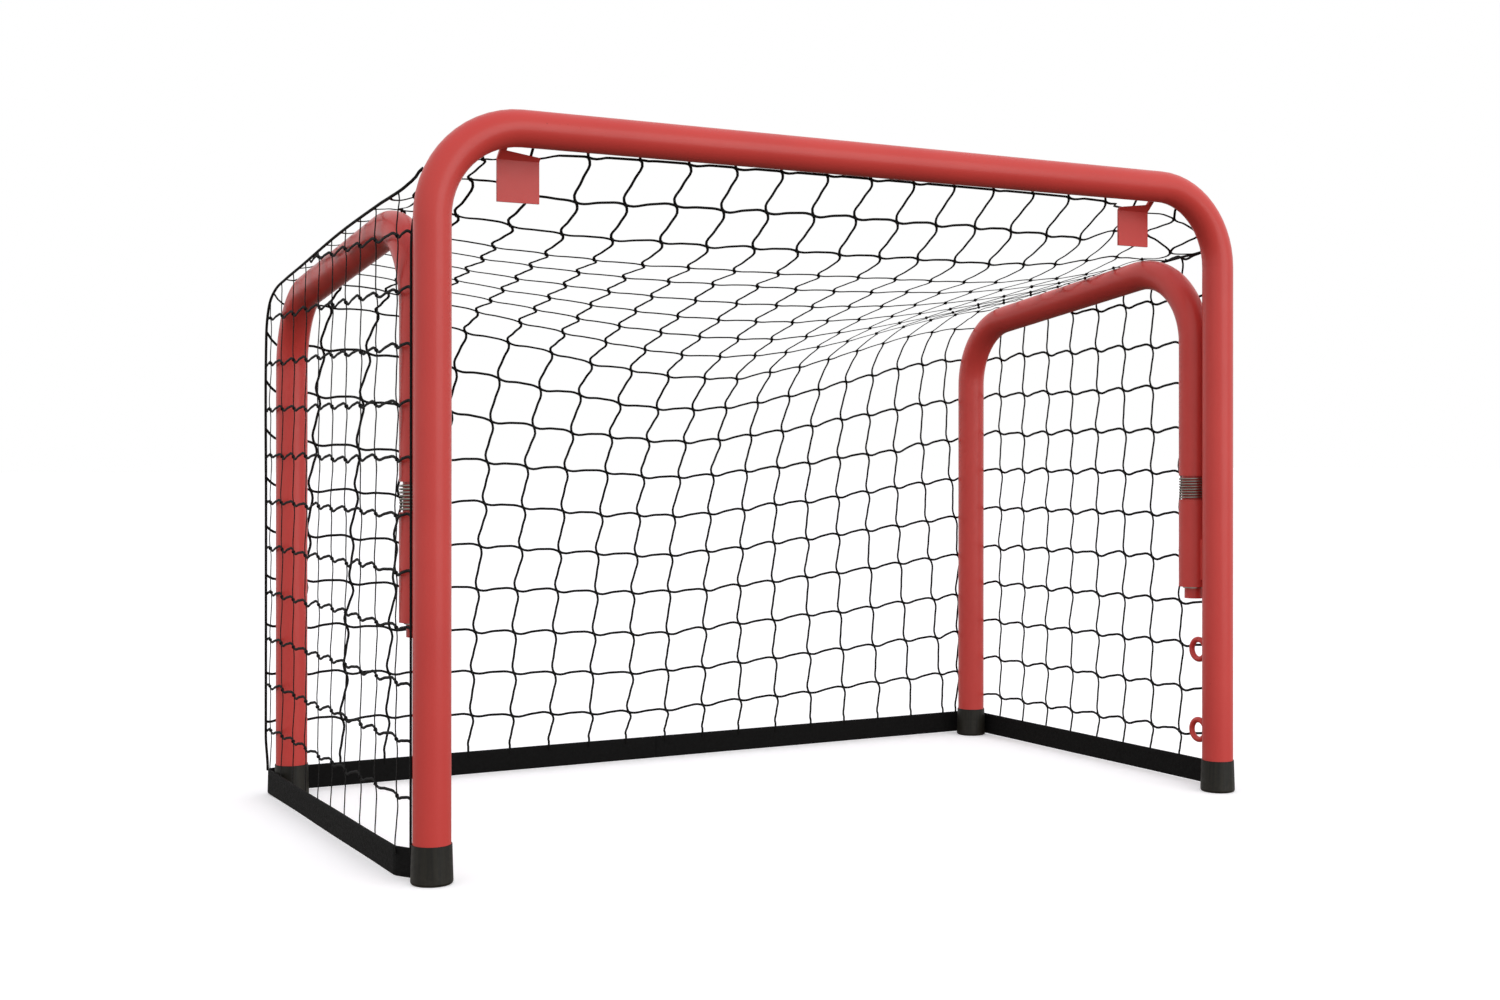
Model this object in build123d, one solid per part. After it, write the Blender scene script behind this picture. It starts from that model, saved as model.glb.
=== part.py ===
"""Folding training goal: a bent tube front frame, two side frames that pivot behind its posts, and a net.

Millimetres, +Z up.  The origin is on the floor under the middle of the goal's box, +X runs along the
crossbar and +Y runs from the goal mouth to the back.
"""

import math
import os

from build123d import *

# Tube and overall layout
TUBE_R = 16.0
TUBE_WALL = 1.5
POST_X = 433.0
CROSSBAR_Z = 633.5
BEND_R = 80.0
REAR_LEG_DY = 444.0
NET_DY = 470.0
NET_T = 2.0

# Rubber feet
FOOT_TOP_R = 16.9
FOOT_BASE_R = 17.9
FOOT_H = 33.0
FOOT_SOLE = 6.0
FOOT_EDGE_R = 2.5

# Side frames: the front leg carries the pivot, the top bar falls towards the back
PIVOT_DY = 36.0
LEG_END_Z = 333.0
TOP_FRONT_Z = 566.6
TOP_REAR_Z = 512.9

# Pivot: a sleeve on the post, a stepped shaft in it and a spring between sleeve and leg
SLEEVE_Z0 = 214.0
SLEEVE_Z1 = 307.0
SLEEVE_BORE_R = 13.0
SLEEVE_COLLAR_R = 10.15
SLEEVE_COLLAR_H = 8.0
SHAFT_R = 12.92
SHAFT_STUB_R = 10.0
SHAFT_STUB_Z0 = 201.5
SHAFT_STEP_Z = 232.0
SHAFT_HELD = 40.0
CLIP_R = 11.8
CLIP_T = 1.4
CLIP_GROOVE_R = 9.0
CLIP_TOP_GAP = 0.1
SPRING_R = 15.0
SPRING_WIRE_R = 0.9
SPRING_TURNS = 8.25
SPRING_END_GAP = 0.35
WEB_Z0 = 222.0
WEB_Z1 = 265.0
WEB_W = 10.0

# Round wire rings behind each post
RING_R = 10.5
RING_WIRE_R = 3.0
RING_DY = 28.5
RING_UPPER_Z = 147.0
RING_LOWER_Z = 61.0

# Bent stop plates under the crossbar
PLATE_X = 344.5
PLATE_W = 39.0
PLATE_T = 2.5
PLATE_DY = 31.0
PLATE_Z0 = 574.5
PLATE_BEND_Z = 611.0
PLATE_REACH = 19.0
PLATE_LIP_INNER_Z = 614.0
PLATE_LIP_OUTER_Z = 618.0
PLATE_NECK_W = 6.0

# Webbing strap round the foot of the net
STRAP_T = 2.0
STRAP_Z0 = 1.0
STRAP_Z1 = 26.0
STRAP_X = 452.0
SIDE_STRAP_DY0 = 40.0
SIDE_STRAP_DY1 = 464.0
STRAP_END_GAP = 0.8

# Net, as thin sheets in the stretched shape that stays clear of the folding frames
NET_X = 452.0
NET_SIDE_T = 2.5
NET_FOOT_Z = 28.0
NET_SIDE_DY0 = 40.0
NET_SIDE_DY1 = 462.0
NET_SEAM = ((40.0, 580.0), (435.0, 515.0), (462.0, 478.0))
NET_TOP_START = (17.6, 636.0)
NET_TOP_REAR_Z = 535.0
NET_TOP_HALF_W = 447.0
NET_TOP_FRONT_HALF_W = 353.0
NET_TOP_CORNER_DY = 130.0
NET_BACK_TOP_Z = 531.0

# The post plane lies so that the goal's box is centred front to back
DEPTH = FOOT_BASE_R + NET_DY + NET_T / 2
POST_Y = FOOT_BASE_R - DEPTH / 2
SIDES = {"left": -1, "right": 1}


def cylinder(radius, z0, z1, x=0.0, dy=0.0):
    """Upright solid cylinder between two heights."""
    return Pos(x, POST_Y + dy, z0) * Cylinder(
        radius, z1 - z0, align=(Align.CENTER, Align.CENTER, Align.MIN)
    )


def block(x_range, dy_range, z_range):
    """Box between low and high values, with y measured back from the post plane."""
    size = [high - low for low, high in (x_range, dy_range, z_range)]
    corner = Pos(x_range[0], POST_Y + dy_range[0], z_range[0])
    return corner * Box(*size, align=(Align.MIN, Align.MIN, Align.MIN))


def swept_tube(points, radius):
    """Round bar along a path whose corners are bent to the frame's bend radius."""
    path = FilletPolyline(*points, radius=BEND_R)
    section = Plane(origin=path @ 0, z_dir=path % 0) * Circle(radius)
    return sweep(section, path=path)


def side_profile(points, x0, x1):
    """Solid with an outline in the Y-Z plane, from x0 to x1."""
    outline = [(POST_Y + dy, z) for dy, z in points]
    face = Plane.YZ.offset(x0) * make_face(Polyline(*outline, close=True))
    return extrude(face, amount=x1 - x0, dir=(1, 0, 0))


def front_path():
    """Centre line of the front frame, from foot to foot."""
    corners = ((-1, FOOT_SOLE), (-1, CROSSBAR_Z), (1, CROSSBAR_Z), (1, FOOT_SOLE))
    return [(side * POST_X, POST_Y, z) for side, z in corners]


def side_path(side):
    """Centre line of a side frame, from the spring up, back and down to the rear foot."""
    corners = (
        (PIVOT_DY, LEG_END_Z),
        (PIVOT_DY, TOP_FRONT_Z),
        (REAR_LEG_DY, TOP_REAR_Z),
        (REAR_LEG_DY, FOOT_SOLE),
    )
    return [(side * POST_X, POST_Y + dy, z) for dy, z in corners]


def bent_tube(points):
    """Hollow frame tube."""
    return swept_tube(points, TUBE_R) - swept_tube(points, TUBE_R - TUBE_WALL)


def foot(x, dy):
    """Rubber cap with a rounded sole edge, closed below the tube."""
    cap = Pos(x, POST_Y + dy, 0) * Cone(
        FOOT_BASE_R, FOOT_TOP_R, FOOT_H, align=(Align.CENTER, Align.CENTER, Align.MIN)
    )
    cap = fillet(cap.edges().sort_by(Axis.Z)[0], FOOT_EDGE_R)
    return cap - cylinder(TUBE_R, FOOT_SOLE, FOOT_H, x, dy)


def pivot_sleeve(x):
    """Sleeve fixed to the post, with a narrow collar at its lower end."""
    sleeve = cylinder(TUBE_R, SLEEVE_Z0, SLEEVE_Z1, x, PIVOT_DY)
    sleeve -= cylinder(SLEEVE_COLLAR_R, SLEEVE_Z0, SLEEVE_Z1, x, PIVOT_DY)
    return sleeve - cylinder(SLEEVE_BORE_R, SLEEVE_Z0 + SLEEVE_COLLAR_H, SLEEVE_Z1, x, PIVOT_DY)


def sleeve_web(x):
    """Spacer welded between post and sleeve."""
    web = block((x - WEB_W / 2, x + WEB_W / 2), (0, PIVOT_DY), (WEB_Z0, WEB_Z1))
    web -= cylinder(TUBE_R, WEB_Z0, WEB_Z1, x, 0)
    return web - cylinder(TUBE_R, WEB_Z0, WEB_Z1, x, PIVOT_DY)


def pivot_shaft(x):
    """Stepped shaft: held in the leg, running in the sleeve, with its stub out below."""
    clip_z1 = SLEEVE_Z0 - CLIP_TOP_GAP
    shaft = cylinder(SHAFT_STUB_R, SHAFT_STUB_Z0, SHAFT_STEP_Z, x, PIVOT_DY)
    shaft += cylinder(SHAFT_R, SHAFT_STEP_Z, LEG_END_Z, x, PIVOT_DY)
    shaft += cylinder(TUBE_R - TUBE_WALL, LEG_END_Z, LEG_END_Z + SHAFT_HELD, x, PIVOT_DY)
    groove = cylinder(SHAFT_R, clip_z1 - CLIP_T, clip_z1, x, PIVOT_DY)
    groove -= cylinder(CLIP_GROOVE_R, clip_z1 - CLIP_T, clip_z1, x, PIVOT_DY)
    return shaft - groove


def retaining_clip(x):
    """Snap ring in the stub's groove, open at the back."""
    clip_z1 = SLEEVE_Z0 - CLIP_TOP_GAP
    clip = cylinder(CLIP_R, clip_z1 - CLIP_T, clip_z1, x, PIVOT_DY)
    clip -= cylinder(CLIP_GROOVE_R, clip_z1 - CLIP_T, clip_z1, x, PIVOT_DY)
    gap = (x - CLIP_R / 4, x + CLIP_R / 4)
    return clip - block(gap, (PIVOT_DY, PIVOT_DY + CLIP_R), (clip_z1 - CLIP_T, clip_z1))


def pivot_spring(x):
    """Round wire compression spring between the sleeve and the leg."""
    z0 = SLEEVE_Z1 + SPRING_END_GAP + SPRING_WIRE_R
    z1 = LEG_END_Z - SPRING_END_GAP - SPRING_WIRE_R
    coil = Helix(pitch=(z1 - z0) / SPRING_TURNS, height=z1 - z0, radius=SPRING_R)
    wire = Plane(origin=coil @ 0, z_dir=coil % 0) * Circle(SPRING_WIRE_R)
    return Pos(x, POST_Y + PIVOT_DY, z0) * sweep(wire, path=coil, is_frenet=True)


def net_ring(x, z):
    """Wire ring welded edge on to the back of a post."""
    ring = Pos(x, POST_Y + RING_DY, z) * Rot(0, 90, 0) * Torus(RING_R, RING_WIRE_R)
    return ring - cylinder(TUBE_R, z - 2 * RING_R, z + 2 * RING_R, x, 0)


def stop_plate(side, crossbar):
    """Bent plate that the folded side frame rests under; its slanted lip rises to a neck at the outer end."""
    slant = PLATE_T / math.sqrt(2)
    knee = PLATE_DY + PLATE_T
    plate = side_profile(
        (
            (PLATE_DY, PLATE_Z0),
            (knee, PLATE_Z0),
            (knee, PLATE_BEND_Z + slant / 2),
            (PLATE_DY - PLATE_REACH + slant, PLATE_BEND_Z + PLATE_REACH + slant),
            (PLATE_DY - PLATE_REACH, PLATE_BEND_Z + PLATE_REACH),
            (PLATE_DY, PLATE_BEND_Z),
        ),
        side * PLATE_X - PLATE_W / 2,
        side * PLATE_X + PLATE_W / 2,
    )
    neck_x = PLATE_X + PLATE_W / 2 - PLATE_NECK_W
    inner_x = PLATE_X - PLATE_W / 2 - PLATE_T
    top = PLATE_BEND_Z + PLATE_REACH + PLATE_W
    waste = make_face(
        Polyline(
            (side * neck_x, PLATE_LIP_OUTER_Z),
            (side * inner_x, PLATE_LIP_INNER_Z),
            (side * inner_x, top),
            (side * neck_x, top),
            close=True,
        )
    )
    waste = extrude(Plane.XZ.offset(-POST_Y) * waste, amount=knee + PLATE_T, dir=(0, 1, 0))
    return plate - waste - crossbar


def side_strap(side):
    """Webbing along a side frame's foot."""
    x = side * STRAP_X
    return block(
        (x - STRAP_T / 2, x + STRAP_T / 2),
        (SIDE_STRAP_DY0, SIDE_STRAP_DY1),
        (STRAP_Z0, STRAP_Z1),
    )


def strap_end(side):
    """Short front end of the webbing, turned in to the back of the front foot."""
    reach = FOOT_BASE_R + STRAP_END_GAP + STRAP_T / 2
    turn = math.radians(65)
    start = (side * STRAP_X, POST_Y + PIVOT_DY)
    end = (side * (POST_X + reach * math.cos(turn)), POST_Y + reach * math.sin(turn))
    line = Line(start, end)
    across = Vector(line % 0).rotate(Axis.Z, 90) * (STRAP_T / 2)
    corners = [line @ 0 + across, line @ 1 + across, line @ 1 - across, line @ 0 - across]
    face = make_face(Polyline(*corners, close=True))
    return Pos(0, 0, STRAP_Z0) * extrude(face, amount=STRAP_Z1 - STRAP_Z0, dir=(0, 0, 1))


def side_net(side):
    """Net on a side frame, hemmed along the seam with the top net."""
    x = side * NET_X
    outline = ((NET_SIDE_DY0, NET_FOOT_Z), (NET_SIDE_DY1, NET_FOOT_Z), *reversed(NET_SEAM))
    return side_profile(outline, x - NET_SIDE_T / 2, x + NET_SIDE_T / 2)


def top_net():
    """Net from the straight of the crossbar, widening to the sides, down to the top of the back net."""
    dy0, z0 = NET_TOP_START
    dy1, z1 = NET_DY + NET_T / 2, NET_TOP_REAR_Z
    outline = ((dy0, z0), (dy1, z1), (dy1, z1 + NET_T), (dy0, z0 + NET_T))
    sheet = side_profile(outline, -NET_TOP_HALF_W, NET_TOP_HALF_W)
    right = ((NET_TOP_FRONT_HALF_W, dy0), (NET_TOP_HALF_W, NET_TOP_CORNER_DY), (NET_TOP_HALF_W, dy1))
    left = [(-x, dy) for x, dy in reversed(right)]
    plan = make_face(Polyline(*[(x, POST_Y + dy) for x, dy in (*right, *left)], close=True))
    return sheet & extrude(plan, amount=2 * CROSSBAR_Z, dir=(0, 0, 1))


def back_net():
    """Upright net across the back."""
    return block(
        (-NET_TOP_HALF_W, NET_TOP_HALF_W),
        (NET_DY - NET_T / 2, NET_DY + NET_T / 2),
        (NET_FOOT_Z, NET_BACK_TOP_Z),
    )


def rear_strap():
    """Webbing across the back."""
    return block(
        (-STRAP_X, STRAP_X),
        (NET_DY - STRAP_T / 2, NET_DY + STRAP_T / 2),
        (STRAP_Z0, STRAP_Z1),
    )


def build():
    """Every part of the goal, by node name."""
    parts = {"front_frame_tube": bent_tube(front_path())}
    crossbar = swept_tube(front_path(), TUBE_R)
    for name, side in SIDES.items():
        x = side * POST_X
        parts[f"{name}_side_frame_tube"] = bent_tube(side_path(side))
        parts[f"{name}_pivot_sleeve"] = pivot_sleeve(x)
        parts[f"{name}_sleeve_web"] = sleeve_web(x)
        parts[f"{name}_pivot_shaft"] = pivot_shaft(x)
        parts[f"{name}_retaining_clip"] = retaining_clip(x)
        parts[f"{name}_pivot_spring"] = pivot_spring(x)
        parts[f"{name}_upper_net_ring"] = net_ring(x, RING_UPPER_Z)
        parts[f"{name}_lower_net_ring"] = net_ring(x, RING_LOWER_Z)
        parts[f"{name}_stop_plate"] = stop_plate(side, crossbar)
        parts[f"front_{name}_foot"] = foot(x, 0)
        parts[f"rear_{name}_foot"] = foot(x, REAR_LEG_DY)
        parts[f"{name}_side_strap"] = side_strap(side)
        parts[f"{name}_strap_end"] = strap_end(side)
        parts[f"{name}_side_net"] = side_net(side)
    parts["rear_strap"] = rear_strap()
    parts["top_net"] = top_net()
    parts["back_net"] = back_net()
    return parts


os.makedirs("parts", exist_ok=True)
for node, shape in build().items():
    export_step(shape, f"parts/{node}.step")
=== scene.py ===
"""Folding training goal: the visual model round the CAD frame.

Lengths of the goal itself are in millimetres here: x along the crossbar, dy back from the
post plane and z up. Lengths in materials, lights and the camera are in metres.
"""

import math
import random

import bpy
import numpy as np
from mathutils import Matrix, Vector


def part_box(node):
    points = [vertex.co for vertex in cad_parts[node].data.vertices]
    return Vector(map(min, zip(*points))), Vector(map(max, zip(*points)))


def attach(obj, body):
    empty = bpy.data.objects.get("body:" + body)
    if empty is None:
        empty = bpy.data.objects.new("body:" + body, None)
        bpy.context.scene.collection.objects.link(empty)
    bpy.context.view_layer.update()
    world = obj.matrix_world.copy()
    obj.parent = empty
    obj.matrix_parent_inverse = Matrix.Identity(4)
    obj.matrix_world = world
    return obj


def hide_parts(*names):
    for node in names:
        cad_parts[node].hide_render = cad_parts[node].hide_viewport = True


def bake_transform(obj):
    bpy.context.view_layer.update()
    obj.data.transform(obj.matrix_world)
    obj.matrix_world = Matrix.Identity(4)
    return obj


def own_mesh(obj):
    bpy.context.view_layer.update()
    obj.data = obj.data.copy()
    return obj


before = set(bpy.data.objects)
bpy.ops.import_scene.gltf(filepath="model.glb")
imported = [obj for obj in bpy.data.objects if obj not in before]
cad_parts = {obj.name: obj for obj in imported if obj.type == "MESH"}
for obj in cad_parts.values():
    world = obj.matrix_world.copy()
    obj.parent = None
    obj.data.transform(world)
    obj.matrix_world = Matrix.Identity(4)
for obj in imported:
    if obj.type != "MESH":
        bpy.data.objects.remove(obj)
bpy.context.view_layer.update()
draw = random.Random(7)

MM = 0.001
SIDES = {"left": -1, "right": 1}
foot_low, foot_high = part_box("front_left_foot")
POST_Y = (foot_low.y + foot_high.y) / 2 / MM

# The bent tubes, as the CAD has them
TUBE_R = 16.0
POST_X = 433.0
CROSSBAR_Z = 633.5
BEND_R = 80.0
SIDE_TUBE = ((36.0, 333.0), (36.0, 566.6), (444.0, 512.9), (444.0, 6.0))

# Net of knotted twine: columns run down from the crossbar, rows run across
TWINE_R = 1.5
TWINE_THIN_R = 0.4
CLEARANCE = 1.9
COLUMNS = range(-9, 10)
ROWS = 19
NET_HALF_W = 449.0
OUTER_COLUMN_X = 430.0
SIDE_X = 451.4
NET_END_Z = 20.0

# Lines that the net hangs between, as (dy, z): down its middle, and down its edges
MIDDLE_LINE = ((14, 618.5), (75, 549), (160, 522), (281, 479), (355, 440), (407, 369), (445, 241), (469, 27))
EDGE_LINE = ((26, 581), (220, 551), (400, 523), (447, 507), (466, 467), (470, 400), (470, 200), (470, 27))

# The corner seam as (dy, z). Its long middle part is traced from the seam that is seen, then rounded.
SEAM_LINE = (
    (13, 595.5), (15.5, 592.5), (18, 586.4), (20, 583), (26, 580), (40, 576.3), (81, 572.5),
    (202, 560), (341, 540.5), (398, 532.7), (434, 526), (458, 514), (470, 494), (473.5, 470),
    (473.5, 300), (473.5, 23),
)
SEAM_X = 452.0

# How far the seam's front end turns in from SEAM_X towards the bend, by height
SEAM_TURNS_IN = ((575, 580, 583, 586.4, 592.5, 595.5), (0, 4.0, 6.0, 10.0, 13.2, 16.0))
DEPTH_POWER = 1.85
SHOULDER_RISE = 17.0

# Row numbers and the share of each line above them, then the column spacing and its sideways shift
MIDDLE_ROWS = ((0, 8, 12, 18, 19), (0, 0.4217, 0.634, 0.965, 1))
EDGE_ROWS = {"left": ((0, 9, 14, 19), (0, 0.4642, 0.731, 1)), "right": ((0, 9, 19), (0, 0.456, 1))}
PITCH_ROWS = {"left": ((0, 9, 19), (48.4, 44.7, 48.4)), "right": ((0, 9, 19), (48.4, 42.7, 49.5))}
SHIFT_ROWS = ((0, 9, 19), (7.5, 5.5, 14.0))

TWINE_SIDES = 6
BAR_STEPS = 12


def place(points):
    """Points given as x, dy, z in millimetres, in the row frame in metres."""
    return (np.asarray(points, float) + (0.0, POST_Y, 0.0)) * MM


def smoothstep(t):
    t = np.clip(t, 0.0, 1.0)
    return t * t * (3.0 - 2.0 * t)


def smooth_line(points, steps=24):
    """A dense smooth line through a few points, and the distance along it at each of its points."""
    p = np.asarray(points, float)
    gap = np.linalg.norm(np.diff(p, axis=0), axis=1)
    slope = np.diff(p, axis=0) / gap[:, None]
    tangent = np.vstack([slope[:1], (slope[:-1] + slope[1:]) / 2, slope[-1:]])
    t = np.linspace(0, 1, steps, endpoint=False)[:, None]
    out = []
    for i, g in enumerate(gap):
        out.append(
            p[i] * (1 + 2 * t) * (1 - t) ** 2
            + tangent[i] * g * t * (1 - t) ** 2
            + p[i + 1] * t * t * (3 - 2 * t)
            + tangent[i + 1] * g * t * t * (t - 1)
        )
    line = np.vstack([*out, p[-1:]])
    return line, np.concatenate([[0], np.cumsum(np.linalg.norm(np.diff(line, axis=0), axis=1))])


def along(line, run, s):
    """Points at distances s along a dense line."""
    return np.stack([np.interp(s, run, line[:, i]) for i in range(line.shape[1])], axis=-1)


def bent_path(corners, radius=BEND_R, steps=12):
    """A polyline with its inner corners rounded, in the plane of its points."""
    c = [np.asarray(p, float) for p in corners]
    out = [c[0]]
    for a, b, d in zip(c, c[1:], c[2:]):
        u, v = (a - b) / np.linalg.norm(a - b), (d - b) / np.linalg.norm(d - b)
        half = math.acos(float(np.clip(u @ v, -1, 1))) / 2
        centre = b + (u + v) / np.linalg.norm(u + v) * radius / math.sin(half)
        start = b + u * radius / math.tan(half) - centre
        end = b + v * radius / math.tan(half) - centre
        swing = math.acos(float(np.clip(start @ end / radius**2, -1, 1)))
        for i in range(steps + 1):
            a_i = swing * i / steps
            out.append(centre + (start * math.sin(swing - a_i) + end * math.sin(a_i)) / math.sin(swing))
    out.append(c[-1])
    return np.array(out)


def resample(line, spacing):
    run = np.concatenate([[0], np.cumsum(np.linalg.norm(np.diff(line, axis=0), axis=1))])
    return along(line, run, np.linspace(0, run[-1], max(2, int(run[-1] / spacing) + 1)))


side_axis = resample(bent_path(SIDE_TUBE), 3.0)
front_axis = resample(
    bent_path([(-POST_X, 6), (-POST_X, CROSSBAR_Z), (POST_X, CROSSBAR_Z), (POST_X, 6)]), 3.0
)


def off_tubes(points, gap=TUBE_R + CLEARANCE):
    """Points moved straight out of the bent tubes where they come too near."""
    p = np.array(points, float)
    axes = [
        np.column_stack([np.full(len(side_axis), s * POST_X), side_axis]) for s in SIDES.values()
    ]
    axes.append(np.column_stack([front_axis[:, 0], np.zeros(len(front_axis)), front_axis[:, 1]]))
    for axis in axes:
        d = p[:, None, :] - axis[None, :, :]
        dist = np.linalg.norm(d, axis=2)
        i = dist.argmin(axis=1)
        near = dist[np.arange(len(p)), i]
        away = d[np.arange(len(p)), i] / np.maximum(near, 1e-6)[:, None]
        p += away * np.maximum(gap - near, 0)[:, None]
    return p


class Strands:
    """Round cords gathered into one mesh, with the length and the turn round each cord as UVs."""

    def __init__(self):
        self.verts, self.faces, self.uvs, self.count = [], [], [], 0

    def tube(self, points, radius=TWINE_R, sides=TWINE_SIDES, face=None, thin=TWINE_THIN_R):
        """A closed cord along the points; with face, it is thin in that direction."""
        p = np.asarray(points, float)
        n = len(p)
        t = np.gradient(p, axis=0)
        t /= np.maximum(np.linalg.norm(t, axis=1), 1e-9)[:, None]
        if face is None:
            thin = radius
            normal = np.cross(t[0], (0.31, 0.77, 0.55))
            normals = []
            for i in range(n):
                normal = normal - t[i] * (normal @ t[i])
                normal /= np.linalg.norm(normal)
                normals.append(normal)
            normals = np.array(normals)
            wide = np.cross(t, normals)
        else:
            wide = np.cross(np.broadcast_to(face, (n, 3)), t)
            wide /= np.linalg.norm(wide, axis=1)[:, None]
            normals = np.cross(t, wide)
        angle = np.arange(sides) * 2 * math.pi / sides
        ring = (
            p[:, None, :]
            + thin * np.cos(angle)[None, :, None] * normals[:, None, :]
            + radius * np.sin(angle)[None, :, None] * wide[:, None, :]
        )
        run = np.concatenate([[0], np.cumsum(np.linalg.norm(np.diff(p, axis=0), axis=1))]) * MM
        base = self.count
        self.verts.append(ring.reshape(-1, 3))
        for i in range(n - 1):
            a, b = base + i * sides, base + (i + 1) * sides
            for j in range(sides):
                k = (j + 1) % sides
                self.faces.append((a + j, a + k, b + k, b + j))
                self.uvs += [
                    (run[i], j / sides), (run[i], (j + 1) / sides),
                    (run[i + 1], (j + 1) / sides), (run[i + 1], j / sides),
                ]
        for first, flip in ((base, True), (base + (n - 1) * sides, False)):
            loop = list(range(first, first + sides))
            self.faces.append(tuple(reversed(loop)) if flip else tuple(loop))
            self.uvs += [(0.0, 0.5)] * sides
        self.count += n * sides

    def knot(self, centre, u, v):
        """A small winding of the twine round a crossing of the directions u and v."""
        u = u / np.linalg.norm(u)
        w = np.cross(u, v)
        w /= np.linalg.norm(w)
        v = np.cross(w, u)
        axis = (u + v) / math.sqrt(2)
        other = (u - v) / math.sqrt(2)
        turns = 1.6
        a = np.linspace(0, turns * 2 * math.pi, 13) + draw.uniform(0, 6)
        r = draw.uniform(1.0, 1.25)
        step = np.linspace(-1.0, 1.0, len(a))
        line = (
            centre
            + axis * step[:, None]
            + (other * np.cos(a)[:, None] + w * np.sin(a)[:, None]) * r
        )
        self.tube(line, 0.8, 5)

    def make(self, name):
        mesh = bpy.data.meshes.new(name)
        mesh.from_pydata(place(np.vstack(self.verts)).tolist(), [], self.faces)
        layer = mesh.uv_layers.new(name="UVMap")
        layer.data.foreach_set("uv", np.array(self.uvs, np.float32).ravel())
        mesh.polygons.foreach_set("use_smooth", [True] * len(mesh.polygons))
        obj = bpy.data.objects.new(name, mesh)
        bpy.context.scene.collection.objects.link(obj)
        return obj


# ---------------------------------------------------------------- camera

CAMERA_AT = (-0.93372, POST_Y * MM - 1.45774, 0.35818)
CAMERA_YAW = 0.5029
CAMERA_PITCH = 0.0013
CAMERA_ROLL = 0.0005
CAMERA_LENS = 43.9
CAMERA_SHIFT_Y = -0.0336

camera_data = bpy.data.cameras.new("camera")
camera_data.sensor_width = 36.0
camera_data.lens = CAMERA_LENS
camera_data.shift_y = CAMERA_SHIFT_Y
camera = bpy.data.objects.new("camera", camera_data)
bpy.context.scene.collection.objects.link(camera)
camera.matrix_world = (
    Matrix.Translation(CAMERA_AT)
    @ Matrix.Rotation(-CAMERA_YAW, 4, "Z")
    @ Matrix.Rotation(math.pi / 2 + CAMERA_PITCH, 4, "X")
    @ Matrix.Rotation(CAMERA_ROLL, 4, "Z")
)
bpy.context.scene.camera = camera


# ---------------------------------------------------------------- materials


def srgb(r, g, b):
    """A colour on the 0 to 255 display scale as linear values."""
    return tuple(
        c / 12.92 if c <= 0.04045 else ((c + 0.055) / 1.055) ** 2.4 for c in (r / 255, g / 255, b / 255)
    ) + (1.0,)


class Nodes:
    """A material's node tree with short calls for the nodes used here."""

    def __init__(self, name):
        self.material = bpy.data.materials.new(name)
        self.material.use_nodes = True
        self.tree = self.material.node_tree
        self.shader = self.tree.nodes["Principled BSDF"]
        self.where = self.tree.nodes.new("ShaderNodeTexCoord")

    def add(self, kind, inputs=(), **settings):
        node = self.tree.nodes.new(kind)
        for key, value in settings.items():
            setattr(node, key, value)
        for key, value in dict(inputs).items():
            self.put(node.inputs[key], value)
        return node

    def put(self, socket, value):
        if isinstance(value, bpy.types.NodeSocket):
            self.tree.links.new(value, socket)
        else:
            socket.default_value = value

    def noise(self, scale, detail=4.0, rough=0.5, vector=None):
        place_in = vector or self.where.outputs["Object"]
        return self.add(
            "ShaderNodeTexNoise",
            {"Vector": place_in, "Scale": scale, "Detail": detail, "Roughness": rough},
        ).outputs["Fac"]

    def scaled(self, vector, scale):
        return self.add("ShaderNodeMapping", {"Vector": vector, "Scale": scale}).outputs["Vector"]

    def ramp(self, value, *stops):
        node = self.add("ShaderNodeValToRGB", {"Fac": value})
        ends = node.color_ramp.elements
        while len(ends) < len(stops):
            ends.new(0.5)
        for element, (at, colour) in zip(ends, stops):
            element.position = at
            element.color = colour if hasattr(colour, "__len__") else (colour,) * 3 + (1.0,)
        return node.outputs["Color"]

    def mix(self, factor, a, b, blend="MIX"):
        node = self.add("ShaderNodeMix", data_type="RGBA", blend_type=blend)
        for name, value in (("Factor_Float", factor), ("A_Color", a), ("B_Color", b)):
            self.put(next(s for s in node.inputs if s.identifier == name), value)
        return next(s for s in node.outputs if s.identifier == "Result_Color")

    def math(self, operation, a, b=0.0):
        node = self.add("ShaderNodeMath", operation=operation)
        self.put(node.inputs[0], a)
        self.put(node.inputs[1], b)
        return node.outputs[0]

    def bump(self, height, distance, strength=1.0, normal=None):
        inputs = {"Height": height, "Distance": distance, "Strength": strength}
        if normal is not None:
            inputs["Normal"] = normal
        return self.add("ShaderNodeBump", inputs).outputs["Normal"]

    def finish(self, **values):
        for key, value in values.items():
            self.put(self.shader.inputs[key.replace("_", " ")], value)
        return self.material


def painted_steel():
    """Red powder coat: fine orange peel, slow changes of tone and a few rubbed specks."""
    n = Nodes("frame_red")
    tone = n.ramp(n.noise(9, 3), (0.3, srgb(199, 63, 58)), (0.7, srgb(206, 68, 62)))
    speck = n.ramp(n.noise(420, 2, 0.6), (0.71, 0.0), (0.76, 1.0))
    patch = n.ramp(n.noise(14, 4, 0.6), (0.52, 0.0), (0.66, 1.0))
    worn = n.math("MULTIPLY", speck, patch)
    colour = n.mix(worn, tone, srgb(150, 38, 34))
    peel = n.noise(650, 2)
    fine = n.noise(2600, 2)
    height = n.math("ADD", peel, n.math("MULTIPLY", fine, 0.3))
    rough = n.ramp(n.noise(60, 4, 0.6), (0.3, 0.34), (0.7, 0.42))
    return n.finish(
        Base_Color=colour,
        Roughness=rough,
        Normal=n.bump(height, 0.00012, 0.6),
        Specular_IOR_Level=0.3,
        Coat_Weight=0.1,
        Coat_Roughness=0.12,
    )


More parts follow.
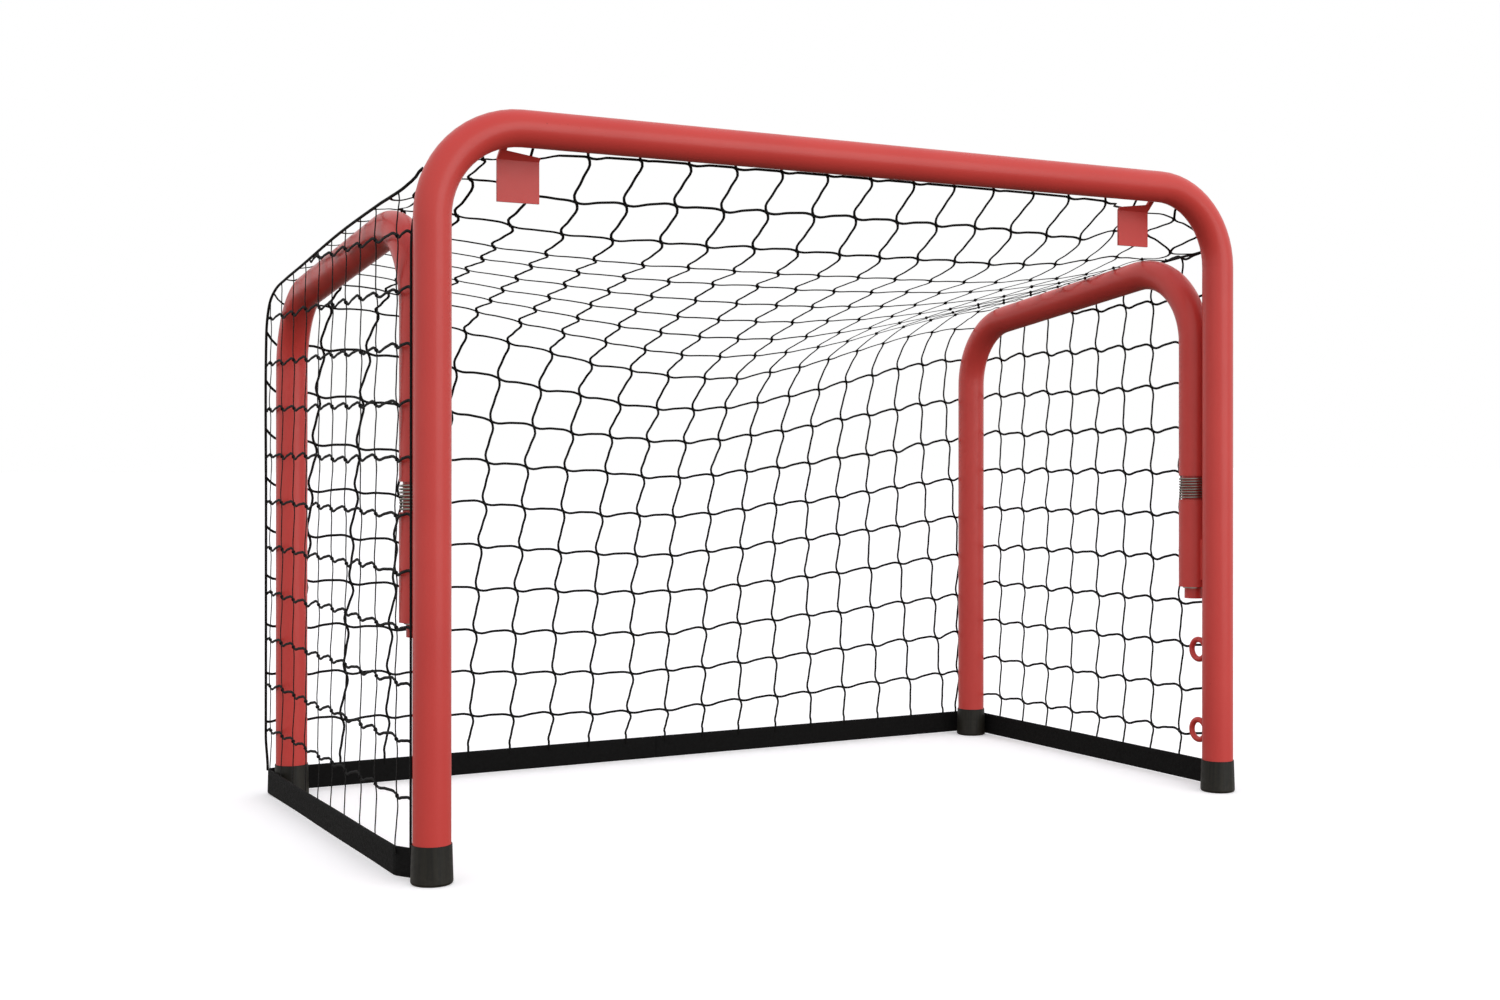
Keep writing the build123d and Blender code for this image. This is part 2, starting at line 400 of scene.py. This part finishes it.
def moulded_rubber():
    """Dark rubber with a fine grain, paler dust towards the sole and faint vertical streaks, partly mould
    lines and partly painted highlight streaks.
    """
    n = Nodes("foot_rubber")
    height = n.add("ShaderNodeSeparateXYZ", {"Vector": n.where.outputs["Object"]}).outputs["Z"]
    low = n.ramp(n.math("MULTIPLY", height, 28.0), (0.05, 1.0), (0.75, 0.0))
    dust = n.math("MULTIPLY", low, n.ramp(n.noise(180, 5, 0.65), (0.42, 0.0), (0.75, 0.55)))
    # Vertical streaks in the base colour: partly mould lines, partly painted glossy highlight streaks
    mould_lines_and_painted_highlights = n.noise(1.0, 3, 0.6, n.scaled(n.where.outputs["Object"], (420, 420, 14)))
    base = n.ramp(mould_lines_and_painted_highlights, (0.3, srgb(14, 14, 10)), (0.7, srgb(33, 31, 23)))
    grain = n.noise(1500, 3, 0.6)
    return n.finish(
        Base_Color=n.mix(dust, base, srgb(50, 47, 40)),
        Specular_IOR_Level=0.35,
        Roughness=n.ramp(n.noise(220, 3), (0.3, 0.42), (0.7, 0.55)),
        Normal=n.bump(grain, 0.0002, 0.7),
    )


def webbing():
    """Black woven strap: rows of ribs across it and a herringbone along it, from its own UVs."""
    n = Nodes("strap_webbing")
    uv = n.where.outputs["UV"]
    parts = n.add("ShaderNodeSeparateXYZ", {"Vector": uv})
    run, across = parts.outputs["X"], parts.outputs["Y"]
    zigzag = n.math("PINGPONG", across, 0.003)
    slant = n.math("ADD", run, zigzag)
    ribs = n.math("SINE", n.math("MULTIPLY", slant, 2 * math.pi / 0.0014))
    warp = n.math("SINE", n.math("MULTIPLY", across, 2 * math.pi / 0.0012))
    weave = n.math("ADD", n.math("MULTIPLY", ribs, 0.6), n.math("MULTIPLY", warp, 0.4))
    level = n.math("ADD", n.math("MULTIPLY", weave, 0.5), 0.5)
    shade = n.ramp(level, (0.1, srgb(8, 8, 8)), (0.9, srgb(22, 22, 22)))
    dust = n.ramp(n.noise(70, 5, 0.65), (0.5, 0.0), (0.85, 0.2))
    return n.finish(
        Base_Color=n.mix(dust, shade, srgb(24, 24, 23)),
        Specular_IOR_Level=0.15,
        Roughness=n.ramp(n.noise(300, 3), (0.3, 0.72), (0.7, 0.86)),
        Normal=n.bump(weave, 0.00025, 0.8),
    )


def twine():
    """Black braided twine: two families of strands crossing round the cord."""
    n = Nodes("net_twine")
    parts = n.add("ShaderNodeSeparateXYZ", {"Vector": n.where.outputs["UV"]})
    run = n.math("MULTIPLY", parts.outputs["X"], 2 * math.pi / 0.0036)
    turn = n.math("MULTIPLY", parts.outputs["Y"], 2 * math.pi * 3)
    one = n.math("SINE", n.math("ADD", run, turn))
    two = n.math("SINE", n.math("SUBTRACT", run, turn))
    braid = n.math("MAXIMUM", one, two)
    fibre = n.noise(2400, 3, 0.6)
    level = n.math("ADD", n.math("MULTIPLY", braid, 0.5), 0.5)
    shade = n.ramp(level, (0.2, srgb(5, 5, 5)), (0.95, srgb(18, 18, 18)))
    return n.finish(
        Base_Color=n.mix(n.ramp(fibre, (0.55, 0.0), (0.8, 0.35)), shade, srgb(30, 30, 29)),
        Specular_IOR_Level=0.25,
        Roughness=0.8,
        Normal=n.bump(n.math("ADD", braid, n.math("MULTIPLY", fibre, 0.4)), 0.0002, 0.8),
    )


def steel():
    """Zinc plated spring steel with drawn streaks and darker oxide patches."""
    n = Nodes("spring_steel")
    streak = n.noise(1.0, 3, 0.6, n.scaled(n.where.outputs["Object"], (120, 120, 900)))
    patch = n.ramp(n.noise(90, 4, 0.6), (0.5, 0.0), (0.8, 0.6))
    base = n.ramp(streak, (0.3, srgb(146, 139, 130)), (0.7, srgb(176, 170, 162)))
    return n.finish(
        Base_Color=n.mix(patch, base, srgb(92, 80, 68)),
        Metallic=1.0,
        Roughness=n.ramp(n.noise(900, 3), (0.3, 0.26), (0.7, 0.44)),
        Normal=n.bump(streak, 0.00005, 0.4),
    )


materials = {
    "frame_red": painted_steel(),
    "foot_rubber": moulded_rubber(),
    "strap_webbing": webbing(),
    "net_twine": twine(),
    "spring_steel": steel(),
}


def dress(obj, name):
    obj.data.materials.clear()
    obj.data.materials.append(materials[name])


for node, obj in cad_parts.items():
    if "spring" in node or "clip" in node:
        finish = "spring_steel"
    elif "foot" in node:
        finish = "foot_rubber"
    elif "strap" in node:
        finish = "strap_webbing"
    elif "net" in node and "ring" not in node:
        finish = "net_twine"
    else:
        finish = "frame_red"
    dress(obj, finish)


# ---------------------------------------------------------------- net surface

middle, middle_run = smooth_line(MIDDLE_LINE)
edge, edge_run = smooth_line(EDGE_LINE)
over_bar = off_tubes(np.column_stack([np.full(len(edge), POST_X), edge]), TUBE_R + 1.8)[:, 1:]
seam, seam_run = smooth_line(SEAM_LINE)
seam = np.column_stack([SEAM_X - np.interp(seam[:, 1], *SEAM_TURNS_IN), seam])


def net_point(x, row):
    """The hanging net at width x and row number, from the crossbar down and out to the side seams."""
    x, row = np.broadcast_arrays(np.asarray(x, float), np.asarray(row, float))
    u = np.clip(np.abs(x) / NET_HALF_W, 0, 1)
    m = along(middle, middle_run, np.interp(row, *MIDDLE_ROWS) * middle_run[-1])
    share = np.where(x < 0, np.interp(row, *EDGE_ROWS["left"]), np.interp(row, *EDGE_ROWS["right"]))
    e = along(edge, edge_run, share * edge_run[-1])
    over = along(over_bar, edge_run, share * edge_run[-1])
    inner = np.clip(np.abs(x) / POST_X, 0, 1)
    slack = inner**3
    level = slack + (smoothstep(inner) - slack) * np.clip((row - 3) / 6, 0, 1)
    level = level + (inner**1.2 - level) * np.clip((row - 10) / 2, 0, 1)
    front = smoothstep(row / 2)
    level = level * front + u**8 * (1 - front)
    depth = u**DEPTH_POWER
    fall = np.clip((np.abs(x) - POST_X) / (SEAM_X - POST_X), 0, 1) ** 2
    hem = along(seam, seam_run, share * seam_run[-1])
    dy = m[..., 0] + (e[..., 0] - m[..., 0]) * depth
    dy = dy + (hem[..., 1] - dy) * fall
    z = m[..., 1] + (over[..., 1] - m[..., 1]) * level
    z = z + (hem[..., 2] - z) * fall * front
    beyond = np.maximum(np.abs(x) - POST_X, 0)
    x = x - np.sign(x) * beyond * (SEAM_X - hem[..., 0]) / (SEAM_X - POST_X)
    shoulder = smoothstep((u - 0.63) / 0.2) * (1 - smoothstep((u - 0.85) / 0.13))
    z = z + SHOULDER_RISE * shoulder * np.interp(row, (0, 1, 2, 3), (0, 1, 0.3, 0))
    return np.stack([x, dy, z], axis=-1)


def column_x(k, row):
    """Where column k lies: the mesh draws in a little down the back and spreads at the strap."""
    pitch = PITCH_ROWS["left" if k < 0 else "right"]
    x = np.interp(row, *SHIFT_ROWS) + np.interp(row, *pitch) * k
    return np.clip(x, -OUTER_COLUMN_X, OUTER_COLUMN_X)


knot_shift = {
    (k, r): np.array([draw.gauss(0, 0.7), draw.gauss(0, 0.02)]) for k in COLUMNS for r in range(ROWS + 1)
}
bar_size = {
    (kind, k, r): draw.uniform(0.8, 1.2)
    for kind in "cr"
    for k in range(-12, 13)
    for r in range(-1, ROWS + 1)
}
COLUMN_WAVE = ((0, 2, 5, 9, 19), (3.1, 3.3, 2.9, 2.5, 2.1))
ROW_WAVE = 1.5
ROW_ARCH = 1.2
PLATE_X = 344.5
PLATE_HALF_W = 19.5
BEHIND_PLATE_DY = 36.8
PLATE_MARGIN = 14


def hook(t):
    """The slanted S of a knotted bar: to one side just after a knot, to the other before the next."""
    return np.sin(2 * math.pi * t) + 0.3 * np.sin(4 * math.pi * t)


def eased(a, b, t):
    return a + (b - a) * smoothstep(t)[:, None]


def behind_plates(p):
    """The net's front edge passes behind the stop plates."""
    from_plate = np.abs(np.abs(p[:, 0]) - PLATE_X) - PLATE_HALF_W
    beside = smoothstep(1 - from_plate / PLATE_MARGIN)
    share = beside * smoothstep((p[:, 2] - 560) / 25) * smoothstep((640 - p[:, 2]) / 20)
    p[:, 1] += share * np.maximum(BEHIND_PLATE_DY - p[:, 1], 0)
    return p


def net_normal(x, row):
    """The net surface's normal at width x and row number."""
    x, row = np.broadcast_arrays(np.asarray(x, float), np.asarray(row, float))
    across = net_point(x + 1, row) - net_point(x - 1, row)
    down = net_point(x, np.minimum(row + 0.05, ROWS)) - net_point(x, np.maximum(row - 0.05, 0))
    normal = np.cross(across, down)
    return normal / np.linalg.norm(normal, axis=-1)[..., None]


bar_t = np.linspace(0, 1, BAR_STEPS, endpoint=False)


def column_line(k):
    """Centre line of one column, from behind the crossbar to the strap, and its normals."""
    xs, rows = [], []
    for r in range(ROWS):
        row = r + bar_t
        shift = eased(knot_shift[k, r], knot_shift[k, r + 1], bar_t)
        swing = np.interp(row, *COLUMN_WAVE) * bar_size["c", k, r] * hook(bar_t)
        xs.append(column_x(k, row) + shift[:, 0] + swing)
        rows.append(row + shift[:, 1])
    x, row = np.concatenate(xs), np.clip(np.concatenate(rows), 0, ROWS)
    line = behind_plates(net_point(x, row))
    normals = net_normal(x, row)
    foot = line[-1].copy()
    foot[2] = NET_END_Z
    top = frame_rope_point(line[0, 0])
    bend = (line[0] + top) / 2 + (0, 1.5, 0)
    return np.vstack([top, bend, line, foot]), np.vstack([normals[:1], normals[:1], normals, normals[-1:]])


def row_line(r, side):
    """Centre line of one half of a row, from the middle plane to the corner rope, and its normals."""
    stops = [-SEAM_X, *(column_x(k, r) + knot_shift[k, r][0] for k in COLUMNS), SEAM_X]
    lifts = [0.0, *(knot_shift[k, r][1] for k in COLUMNS), 0.0]
    xs, rows = [], []
    for i, (a, b) in enumerate(zip(stops, stops[1:])):
        if b - a < 2:
            continue
        lift = lifts[i] + (lifts[i + 1] - lifts[i]) * smoothstep(bar_t)
        size = bar_size["r", i - 11, r] * min(1.0, (b - a) / 40)
        sag = ROW_WAVE * hook(bar_t) - ROW_ARCH * np.sin(math.pi * bar_t) ** 2
        xs.append(a + (b - a) * bar_t)
        rows.append(r + lift + sag * size / 46)
    x = np.append(np.concatenate(xs), SEAM_X)
    row = np.clip(np.append(np.concatenate(rows), r), 0, ROWS)
    mid = float(np.interp(0.0, x, row))
    keep = x * side > 0
    x, row = np.append(0.0, x[keep][::side]), np.append(mid, row[keep][::side])
    return behind_plates(net_point(x, row)), net_normal(x, row)


def frame_rope_point(x):
    """On the back of the crossbar or its bends, at width x."""
    over = min(max(abs(x) - (POST_X - BEND_R), 0.0), BEND_R - 2)
    drop = BEND_R - math.sqrt(BEND_R**2 - over**2)
    return np.array([math.copysign(min(abs(x), POST_X - 2), x), TUBE_R + 2.6, CROSSBAR_Z - drop])


pieces = {}
for name, side in SIDES.items():
    s = Strands()
    for k in COLUMNS:
        if (column_x(k, 10) > 0) != (side > 0):
            continue
        line, normals = column_line(k)
        line = off_tubes(line)
        s.tube(line, face=normals)
        for r in range(ROWS):
            i = 2 + r * BAR_STEPS
            s.knot(line[i], line[i + 1] - line[i - 1], np.cross(line[i + 1] - line[i - 1], normals[i]))
    for r in range(ROWS):
        line, normals = row_line(r, side)
        s.tube(off_tubes(line), face=normals)
    pieces[f"{name}_net"] = s.make(f"{name}_net")
    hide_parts("top_net", "back_net")


# ---------------------------------------------------------------- side nets

ROPE_R = 1.4
FRONT_ROPE_R = 1.1
SIDE_FRONT_ROWS = {"left": (69.0, 47.15), "right": (52.7, 47.3)}
SIDE_REAR_ROWS = {"left": (66.3, 47.95), "right": (50.0, 47.3)}
SIDE_COLUMNS = {"left": (36.0, 93.8, 45.3), "right": (30.5, 77.6, 47.1)}
SIDE_WAVE = 2.2
SIDE_ARCH = 1.0
TOP_ROW_Z = 578.0


def corner_rope_line(side):
    """Up the rear corner from the strap and forward along the seam to the bend of the front frame."""
    line = resample(seam[::-1], 5.0)
    line[:, 0] += 0.4 - 2 * smoothstep((60 - line[:, 2]) / 35)
    return off_tubes(line * (side, 1, 1), TUBE_R + ROPE_R + 0.4)


def front_rope_line(side):
    """Up the outer back of the post, behind its bend and along the back of the crossbar to the middle."""
    path = resample(bent_path([(POST_X, 24.0), (POST_X, CROSSBAR_Z), (0.0, CROSSBAR_Z)]), 5.0)
    centre = np.array([POST_X - BEND_R, CROSSBAR_Z - BEND_R])
    reach = TUBE_R + FRONT_ROPE_R + 0.25
    out = []
    for x, z in path:
        turn = math.atan2(max(z - centre[1], 0.0), max(x - centre[0], 1e-6))
        swing = math.radians(21 + 69 * float(smoothstep(np.array((z - 520) / 80))))
        outward = np.array([math.cos(turn), math.sin(turn)]) * math.cos(swing) * reach
        out.append((side * (x + outward[0]), math.sin(swing) * reach, z + outward[1]))
    return np.array(out)


for name, side in SIDES.items():
    s = Strands()
    first, second, gap = SIDE_COLUMNS[name]
    columns = [first, *(second + gap * c for c in range(9))]
    hem = corner_rope_line(side)
    face = np.array([1.0, 0.0, 0.0])
    nudge = {(c, r): (draw.gauss(0, 0.8), draw.gauss(0, 0.8)) for c in range(len(columns)) for r in range(14)}

    def row_z(r, dy):
        (front, front_gap), (rear, rear_gap) = SIDE_FRONT_ROWS[name], SIDE_REAR_ROWS[name]
        return np.interp(dy, (30, 440), (front + front_gap * r, rear + rear_gap * r))

    def on_side(dy, z):
        top = np.interp(-dy, -hem[:, 1], hem[:, 2])
        hem_x = np.interp(-dy, -hem[:, 1], np.abs(hem[:, 0]))
        x = SIDE_X + 0.5 + 0.5 * np.sin(dy / 31 + z / 23) - 2.8 * smoothstep((22 - dy) / 15)
        x = x + (hem_x - x) * smoothstep((z - top + 50) / 50)
        return np.stack([side * x, dy, z], axis=-1)

    rows = [r for r in range(12) if row_z(r, 30) < TOP_ROW_Z]
    for c, dy in enumerate(columns):
        top = float(np.interp(-dy, -hem[:, 1], hem[:, 2]))
        stops = [NET_END_Z, *(z for z in (row_z(r, dy) for r in rows) if z < top - 3), top]
        parts = []
        for r, (a, b) in enumerate(zip(stops, stops[1:])):
            low = nudge[c, r - 1] if r else (0.0, 0.0)
            high = nudge[c, r] if r + 2 < len(stops) else (0.0, 0.0)
            size = bar_size["c", c - 5, r] * min(1, (b - a) / 40)
            move = eased(np.array(low), np.array(high), bar_t)
            parts.append(
                on_side(dy + move[:, 0] + SIDE_WAVE * size * hook(bar_t), a + (b - a) * bar_t + move[:, 1])
            )
        parts.append(on_side(np.array([dy]), np.array([top])))
        line = off_tubes(np.vstack(parts))
        s.tube(line, face=face)
        for r in range(1, len(stops) - 1):
            s.knot(line[r * BAR_STEPS], np.array([0, 0.2, 1.0]), np.array([0, 1.0, 0.1]))
    for r in rows:
        middle_z = float(row_z(r, 235))
        start = float(np.interp(middle_z, (525, 600), (6.0, 19.0)))
        end = float(np.interp(row_z(r, 440), hem[:, 2], hem[:, 1]))
        inside = [c for c, dy in enumerate(columns) if start + 3 < dy < end - 3]
        stops = [start, *(columns[c] for c in inside), end]
        ends = [None, *inside, None]
        parts = []
        for i, (a, b) in enumerate(zip(stops, stops[1:])):
            near = nudge[ends[i], r] if ends[i] is not None else (0.0, 0.0)
            far = nudge[ends[i + 1], r] if ends[i + 1] is not None else (0.0, 0.0)
            size = bar_size["r", i - 5, r] * min(1, (b - a) / 40)
            move = eased(np.array(near), np.array(far), bar_t)
            dy = a + (b - a) * bar_t
            sag = SIDE_WAVE * hook(1 - bar_t) - SIDE_ARCH * np.sin(math.pi * bar_t) ** 2
            parts.append(on_side(dy + move[:, 0], row_z(r, dy) + move[:, 1] - sag * size))
        parts.append(on_side(np.array([end]), row_z(r, np.array([end]))))
        s.tube(off_tubes(np.vstack(parts)), face=face)
    pieces[f"{name}_side_twine"] = s.make(f"{name}_side_twine")
    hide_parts(f"{name}_side_net")

    s = Strands()
    s.tube(hem, ROPE_R, 8)
    pieces[f"{name}_corner_rope"] = s.make(f"{name}_corner_rope")
    s = Strands()
    s.tube(front_rope_line(side), FRONT_ROPE_R, 8)
    rope = s.make(f"{name}_front_rope")
    dress(rope, "net_twine")
    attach(rope, "front_frame")


# ---------------------------------------------------------------- straps

STRAP_HALF_T = 1.0
STRAP_Z = (1.0, 26.0)
STRAP_X = 452.0
STRAP_DY = 470.0
STRAP_START = (441.0, 19.5)
STRAP_TURN_DY = 39.0
STRAP_CORNER = 6.0
STRAP_STEP = 4.0
STRAP_BEVEL = (0.55, 0.7)
RIPPLE = 0.5
RIPPLE_LENGTH = 37
RIPPLE_EASE = 60


def strap(name, side):
    """Half of the webbing: from the back of the front foot, along the side and across to the middle."""
    path = [
        STRAP_START,
        (STRAP_X, STRAP_TURN_DY),
        (STRAP_X, STRAP_DY - STRAP_CORNER),
        (STRAP_X - STRAP_CORNER * 0.3, STRAP_DY - STRAP_CORNER * 0.3),
        (STRAP_X - STRAP_CORNER, STRAP_DY),
        (0.0, STRAP_DY),
    ]
    flat = resample(np.array(path, float), STRAP_STEP)
    run = np.concatenate([[0], np.cumsum(np.linalg.norm(np.diff(flat, axis=0), axis=1))])
    tangent = np.gradient(flat, axis=0)
    tangent /= np.linalg.norm(tangent, axis=1)[:, None]
    normal = np.stack([tangent[:, 1], -tangent[:, 0]], axis=1)
    low, high = STRAP_Z
    inset, bevel = STRAP_BEVEL
    section = [(-inset, low), (-1, low + bevel)]
    section += [(-1, low + (high - low) * t) for t in (0.2, 0.4, 0.6, 0.8)]
    section += [(-1, high - bevel), (-inset, high)]
    section += [(-a, b) for a, b in reversed(section)]
    verts, faces, uvs = [], [], []
    m = len(section)
    edges = zip(section, section[1:] + section[:1])
    widths = [math.dist((a * STRAP_HALF_T, b), (c * STRAP_HALF_T, d)) for (a, b), (c, d) in edges]
    across = np.concatenate([[0], np.cumsum(widths)])
    for i, (x, dy) in enumerate(flat):
        ease = float(smoothstep(np.array(min(run[i], run[-1] - run[i]) / RIPPLE_EASE)))
        ripple = RIPPLE * math.sin(run[i] / RIPPLE_LENGTH + side) * ease
        for a, z in section:
            off = a * STRAP_HALF_T + ripple * ((z - low) / (high - low) - 0.5)
            verts.append((side * (x + normal[i, 0] * off), dy + normal[i, 1] * off, z))
    for i in range(len(flat) - 1):
        for j in range(m):
            k = (j + 1) % m
            quad = (i * m + j, i * m + k, (i + 1) * m + k, (i + 1) * m + j)
            corners = [
                (run[i], across[j]),
                (run[i], across[j + 1]),
                (run[i + 1], across[j + 1]),
                (run[i + 1], across[j]),
            ]
            if side > 0:
                quad, corners = quad[::-1], corners[::-1]
            faces.append(quad)
            uvs += corners
    for first, flip in ((0, side < 0), ((len(flat) - 1) * m, side > 0)):
        loop = list(range(first, first + m))
        faces.append(tuple(loop[::-1]) if flip else tuple(loop))
        uvs += [(0.0, 0.0)] * m
    mesh = bpy.data.meshes.new(name)
    mesh.from_pydata(place(verts).tolist(), [], faces)
    layer = mesh.uv_layers.new(name="UVMap")
    layer.data.foreach_set("uv", (np.array(uvs, np.float32) * MM).ravel())
    mesh.polygons.foreach_set("use_smooth", [True] * len(mesh.polygons))
    obj = bpy.data.objects.new(name, mesh)
    bpy.context.scene.collection.objects.link(obj)
    return obj, run[-1] * MM


for name, side in SIDES.items():
    band, length = strap(f"{name}_strap", side)
    dress(band, "strap_webbing")
    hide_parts("rear_strap", f"{name}_side_strap", f"{name}_strap_end")
    pieces[f"{name}_strap"] = band

# A diagonal from the front frame to each half's swivel, from x, dy to x, dy; the loop works out its ends but
# does not use them, and only dresses and bakes each piece
BEND_START = (216.5, 253)
BEND_END = (442.8, 479.3)
BEND_Z = 300

for key, obj in pieces.items():
    if not key.endswith("strap"):
        dress(obj, "net_twine")
    name = key.split("_")[0]
    side = SIDES[name]
    start, end = place([(side * x, dy, BEND_Z) for x, dy in (BEND_START, BEND_END)])
    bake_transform(obj)


# ---------------------------------------------------------------- springs

# A copy of each CAD spring with its own mesh, riding on its swivel; nothing here shortens it
for name in SIDES:
    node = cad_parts[f"{name}_pivot_spring"]
    low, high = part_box(f"{name}_pivot_spring")
    coil = bpy.data.objects.new(f"{name}_coil", node.data.copy())
    bpy.context.scene.collection.objects.link(coil)
    bpy.context.view_layer.update()
    coil.matrix_world = node.matrix_world.copy()
    dress(coil, "spring_steel")
    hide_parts(f"{name}_pivot_spring")
    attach(coil, f"{name}_swivel")
    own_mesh(coil)


# ---------------------------------------------------------------- studio

floor_mesh = bpy.data.meshes.new("floor")
floor_mesh.from_pydata([(-30, -30, 0), (30, -30, 0), (30, 30, 0), (-30, 30, 0)], [], [(0, 1, 2, 3)])
floor = bpy.data.objects.new("floor", floor_mesh)
bpy.context.scene.collection.objects.link(floor)
floor_nodes = Nodes("floor")
floor.data.materials.append(
    floor_nodes.finish(
        Base_Color=(0.95, 0.95, 0.95, 1.0),
        Roughness=0.9,
        Specular_IOR_Level=0.0,
        Emission_Color=(1.0, 1.0, 1.0, 1.0),
        Emission_Strength=0.25,
    )
)
floor.visible_diffuse = False
floor.visible_glossy = False

# White all round, dimmer and cooler overhead, dark below so that undersides stay dark
SKY = ((0.4, (0.15, 0.12, 0.1)), (0.45, (1.0, 1.0, 1.0)), (0.85, (1.0, 1.0, 1.0)), (1.0, (0.6, 0.58, 0.68)))
world = bpy.data.worlds.new("studio")
world.use_nodes = True
sky = world.node_tree
direction = sky.nodes.new("ShaderNodeTexCoord")
height = sky.nodes.new("ShaderNodeSeparateXYZ")
raised = sky.nodes.new("ShaderNodeMapRange")
raised.inputs["From Min"].default_value = -1.0
shade = sky.nodes.new("ShaderNodeValToRGB")
sky.links.new(direction.outputs["Generated"], height.inputs["Vector"])
sky.links.new(height.outputs["Z"], raised.inputs["Value"])
sky.links.new(raised.outputs["Result"], shade.inputs["Fac"])
sky.links.new(shade.outputs["Color"], sky.nodes["Background"].inputs["Color"])
while len(shade.color_ramp.elements) < len(SKY):
    shade.color_ramp.elements.new(0.5)
for element, (at, colour) in zip(shade.color_ramp.elements, SKY):
    element.position = at
    element.color = (*colour, 1.0)
sky.nodes["Background"].inputs["Strength"].default_value = 1.0
bpy.context.scene.world = world
bpy.context.scene.view_settings.view_transform = "Standard"


def soft_light(name, at, look_at, size, power):
    data = bpy.data.lights.new(name, "AREA")
    data.shape = "RECTANGLE"
    data.size, data.size_y = size
    data.energy = power
    obj = bpy.data.objects.new(name, data)
    obj.location = at
    obj.rotation_mode = "QUATERNION"
    obj.rotation_quaternion = (Vector(look_at) - Vector(at)).to_track_quat("-Z", "Y")
    bpy.context.scene.collection.objects.link(obj)


soft_light("key", (0.9, -2.9, 1.0), (0, 0, 0.3), (2.4, 2.4), 32)
soft_light("top", (0.0, 0.0, 3.0), (0, 0, 0.3), (3.0, 2.0), 4)
